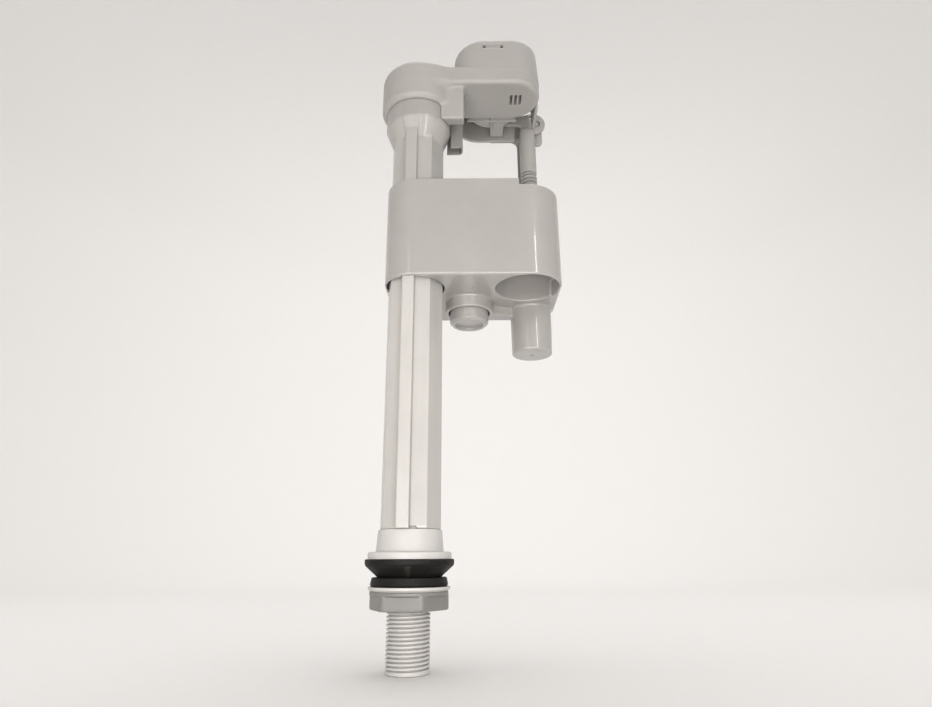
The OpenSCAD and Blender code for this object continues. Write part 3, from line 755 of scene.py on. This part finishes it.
field_piece("rod_moulding", rod_field, (64, 28.5, 291), (82, 40.5, 337), 0.36, "rod", ["rod_clevis"], M_HEAD)
lathe("lever_pin_rod", [(0, 30.5), (1.5, 30.5), (1.5, 38), (0, 38)], [0, 0.35, 0.35, 0], "valve", ["lever_pin"], M_STEEL, at=(PIN[0], 0, PIN[1]), seg=48, axis="y")
lathe("pilot_pad", [(0, 349.7), (2.8, 349.7), (2.8, 350.75), (0, 350.75)], [0, 0.3, 0.2, 0], "lever", ["pilot_seal"], M_RUBBER, at=VALVE, seg=64)


# ---------------------------------------------------------------- float
def float_line(x, y, d):
    back = box2(x, y, -12 + d, 22.5 + d, 79 - d, 43 - d, 9.0 - d)
    tongue = box2(x, y, 20.5 + d, -15 + d, 42 - d, 32, 2.0)
    return runi(back, tongue, 3.0)


def float_field(x, y, z):
    line = float_line(x, y, 0.0)
    d = rint(rint(line, z - 240, 1.2), 208 - z, 0.4)
    d = rcut(d, rint(line + 1.2, z - 238.6, 0.8), 0.3)
    r = circ(x, y, ROD, 0)
    d = runi(d, rint(r - 8, slab(z, 212, 239.5), 0.4), 0.6)
    return rcut(d, r - 6.3, 0.3)


field_piece("float_moulding", float_field, (-12.5, -15.5, 207), (79.5, 43.5, 241), 0.6, "float", ["float_shell"], M_WHITE)


def knob_field(x, y, z):
    px, py = x - ROD[0], y - ROD[1]
    r = np.hypot(px, py)
    hexa = None
    for k in range(3):
        w = math.radians(30 + 60 * k)
        d = np.abs(px * math.cos(w) + py * math.sin(w)) - 7.4
        hexa = d if hexa is None else rint(hexa, d, 0.5)
    d = rint(rint(hexa, (r - 8.4 + 0.5 * np.maximum(z - 244, 0)) * 0.9, 0.3), slab(z, 240.02, 245), 0.4)
    return rcut(d, r - 5.55, 0.3)


field_piece("float_nut_moulding", knob_field, (61.5, 26, 239.5), (79.5, 43, 245.5), 0.3, "float", ["float_nut"], M_WHITE)

# ---------------------------------------------------------------- drain check valve
lathe("drain_plug_moulding", [(0, 182.2), (8.0, 182.2), (8.3, 180.5), (9.8, 180.5), (11.3, 182), (11.3, 189.95), (3, 189.95), (3, 196.9), (4.5, 196.9), (3, 199.4), (0, 199.4)],
      [0, 0.5, 0.25, 0.4, 0.5, 0.4, 0.3, 0.2, 0.3, 0.5, 0], "drain", ["drain_plug"], M_CUP, at=BOSS, seg=96)
lathe("drain_seal_ring", [(4.2, 190), (10.6, 190), (10.6, 191), (4.2, 191)], 0.35, "drain", ["drain_seal"], M_RUBBER, at=BOSS, seg=96)

# ---------------------------------------------------------------- inner pieces
lathe("riser_pipe", [(5, 46), (7, 46), (7, 314), (5, 314)], 0.4, "valve", ["riser_tube"], M_WHITE, seg=72)
lathe("riser_ring_low", [(7.06, 56.2), (9.12, 56.2), (9.12, 58.2), (7.06, 58.2)], 0.98, "valve", ["riser_seal_lower"], M_RUBBER, seg=72, n=8)
lathe("riser_ring_high", [(7.06, 304.2), (9.12, 304.2), (9.12, 306.2), (7.06, 306.2)], 0.98, "valve", ["riser_seal_upper"], M_RUBBER, seg=72, n=8)
lathe("restrictor_disc", [(2.2, 44.02), (6.95, 44.02), (6.95, 45.95), (2.6, 45.95)], 0.25, "valve", ["flow_restrictor"], M_SHADE_GREY, seg=64)
lathe("seat_insert", [(2.2, 333), (3.15, 333), (3.15, 339), (5, 339), (4.2, 340.35), (2.2, 340.35)], 0.25, "valve", ["valve_seat"], M_WHITE, at=VALVE, seg=64)
lathe("diaphragm_disc", [(0.6, 340.42), (12.6, 340.42), (12.6, 341.9), (9.6, 341.9), (8.6, 341.3), (6.4, 341.3), (5, 342.6), (0.6, 342.6)], 0.3, "membrane", ["diaphragm"], M_RUBBER, at=VALVE, seg=96)
lathe("bonnet_moulding", [(0.9, 349), (0.9, 344.2), (13, 344.2), (13, 341.02), (15.5, 341.02), (15.5, 345.2), (14.7, 346), (3, 346), (2.2, 349)],
      [0.2, 0.2, 0.3, 0.2, 0.3, 0.5, 0.5, 0.6, 0.3], "valve", ["bonnet"], M_HEAD, at=VALVE, seg=96)


def filter_field(x, y, z):
    r = np.hypot(x, y)
    d = rint(slab(r, 4.6, 5.5), slab(z, 2, 31), 0.2)
    d = runi(d, rint(r - 5.5, slab(z, 29.8, 31), 0.3), 0.2)
    d = runi(d, rint(slab(r, 4.6, 7.52), slab(z, 2, 4), 0.3), 0.2)
    for k in range(6):
        w = math.radians(60 * k)
        u, v = x * math.cos(w) + y * math.sin(w), -x * math.sin(w) + y * math.cos(w)
        for zz in (7, 14.5, 22):
            d = rcut(d, np.maximum(box2(v, z, -1.1, zz, 1.1, zz + 5.5, 0.4), -u), 0.15)
    return d


field_piece("filter_moulding", filter_field, (-8, -8, 1.5), (8, 8, 31.5), 0.3, "valve", ["inlet_filter"], M_FILTER)

# ---------------------------------------------------------------- stage, light and camera
def stage():
    prof = [(0.0, 0.0)] + [(r, 0.0) for r in np.linspace(0.1, 1.0, 8)]
    prof += [(1.0 + 0.9 * math.sin(a), 0.9 - 0.9 * math.cos(a)) for a in np.linspace(0, math.pi / 2, 24)[1:]]
    prof += [(1.9, 2.6)]
    seg = 96
    verts, faces = [], []
    for r, z in prof:
        for k in range(seg):
            w = 2 * math.pi * k / seg
            verts.append((0.03 + r * math.cos(w), r * math.sin(w), z))
    for i in range(len(prof) - 1):
        for k in range(seg):
            a, b = i * seg + k, i * seg + (k + 1) % seg
            faces.append((a, b, b + seg, a + seg))
    me = bpy.data.meshes.new("studio_floor")
    me.from_pydata(verts, [], faces)
    me.polygons.foreach_set("use_smooth", [True] * len(me.polygons))
    ob = bpy.data.objects.new("studio_floor", me)
    bpy.context.scene.collection.objects.link(ob)
    mat = bpy.data.materials.new("pale_floor")
    t, b = nodes_of(mat)
    b.inputs["Base Color"].default_value = (0.915, 0.903, 0.89, 1)
    b.inputs["Roughness"].default_value = 0.9
    b.inputs["Specular IOR Level"].default_value = 0.1
    ob.data.materials.append(mat)


stage()


receivers = bpy.data.collections.new("part_only")
for each in [o for o in bpy.context.scene.objects if o.type == "MESH" and o.name != "studio_floor"]:
    receivers.objects.link(each)


def lamp(name, where, aim, size, watts, colour=(1, 1, 1), part_only=False):
    li = bpy.data.lights.new(name, "AREA")
    li.shape = "RECTANGLE"
    li.size, li.size_y = size
    li.energy = watts
    li.color = colour
    ob = bpy.data.objects.new(name, li)
    bpy.context.scene.collection.objects.link(ob)
    ob.location = where
    d = np.array(aim) - np.array(where)
    from mathutils import Vector

    ob.rotation_euler = Vector(d).to_track_quat("-Z", "Y").to_euler()
    ob.visible_camera = False
    if part_only:
        ob.light_linking.receiver_collection = receivers
    return ob


lamp("key_low", (-0.30, -0.68, 0.10), (0.03, 0, 0.26), (0.7, 0.16), 1.0, (1.0, 0.985, 0.965), part_only=True)
lamp("bounce_low", (0.03, -0.31, 0.012), (0.03, 0, 0.33), (0.36, 0.12), 1.8, (1.0, 0.985, 0.965), part_only=True)
lamp("strip_right", (0.47, -0.82, 0.30), (0.05, 0, 0.22), (0.05, 0.8), 2.2, (0.99, 0.99, 1.0), part_only=True)
lamp("strip_left", (-0.375, -0.785, 0.25), (0.0, 0, 0.2), (0.07, 0.8), 0.4, (1.0, 0.99, 0.98), part_only=True)
lamp("top_soft", (0.1, 0.3, 1.5), (0.03, 0, 0.2), (1.2, 1.2), 6.6)
lamp("back_soft", (0.05, 0.75, 1.1), (0.03, 1.9, 1.1), (1.2, 0.8), 4.1)

world = bpy.data.worlds.new("studio")
bpy.context.scene.world = world
world.use_nodes = True
bg = world.node_tree.nodes["Background"]
bg.inputs[0].default_value = (1.0, 0.99, 0.98, 1)
bg.inputs[1].default_value = 0.775

cam = bpy.data.cameras.new("camera")
cam.lens, cam.sensor_width, cam.clip_start, cam.clip_end = 24.0, 36.0, 0.01, 20.0
camera = bpy.data.objects.new("camera", cam)
bpy.context.scene.collection.objects.link(camera)
camera.matrix_world = Matrix.Translation((0.0282, -0.3206, 0.051)) @ (
    Matrix.Rotation(math.radians(108.2), 4, "X") @ Matrix.Rotation(math.radians(-0.36), 4, "Z"))
bpy.context.scene.camera = camera
bpy.context.scene.view_settings.view_transform = "Standard"
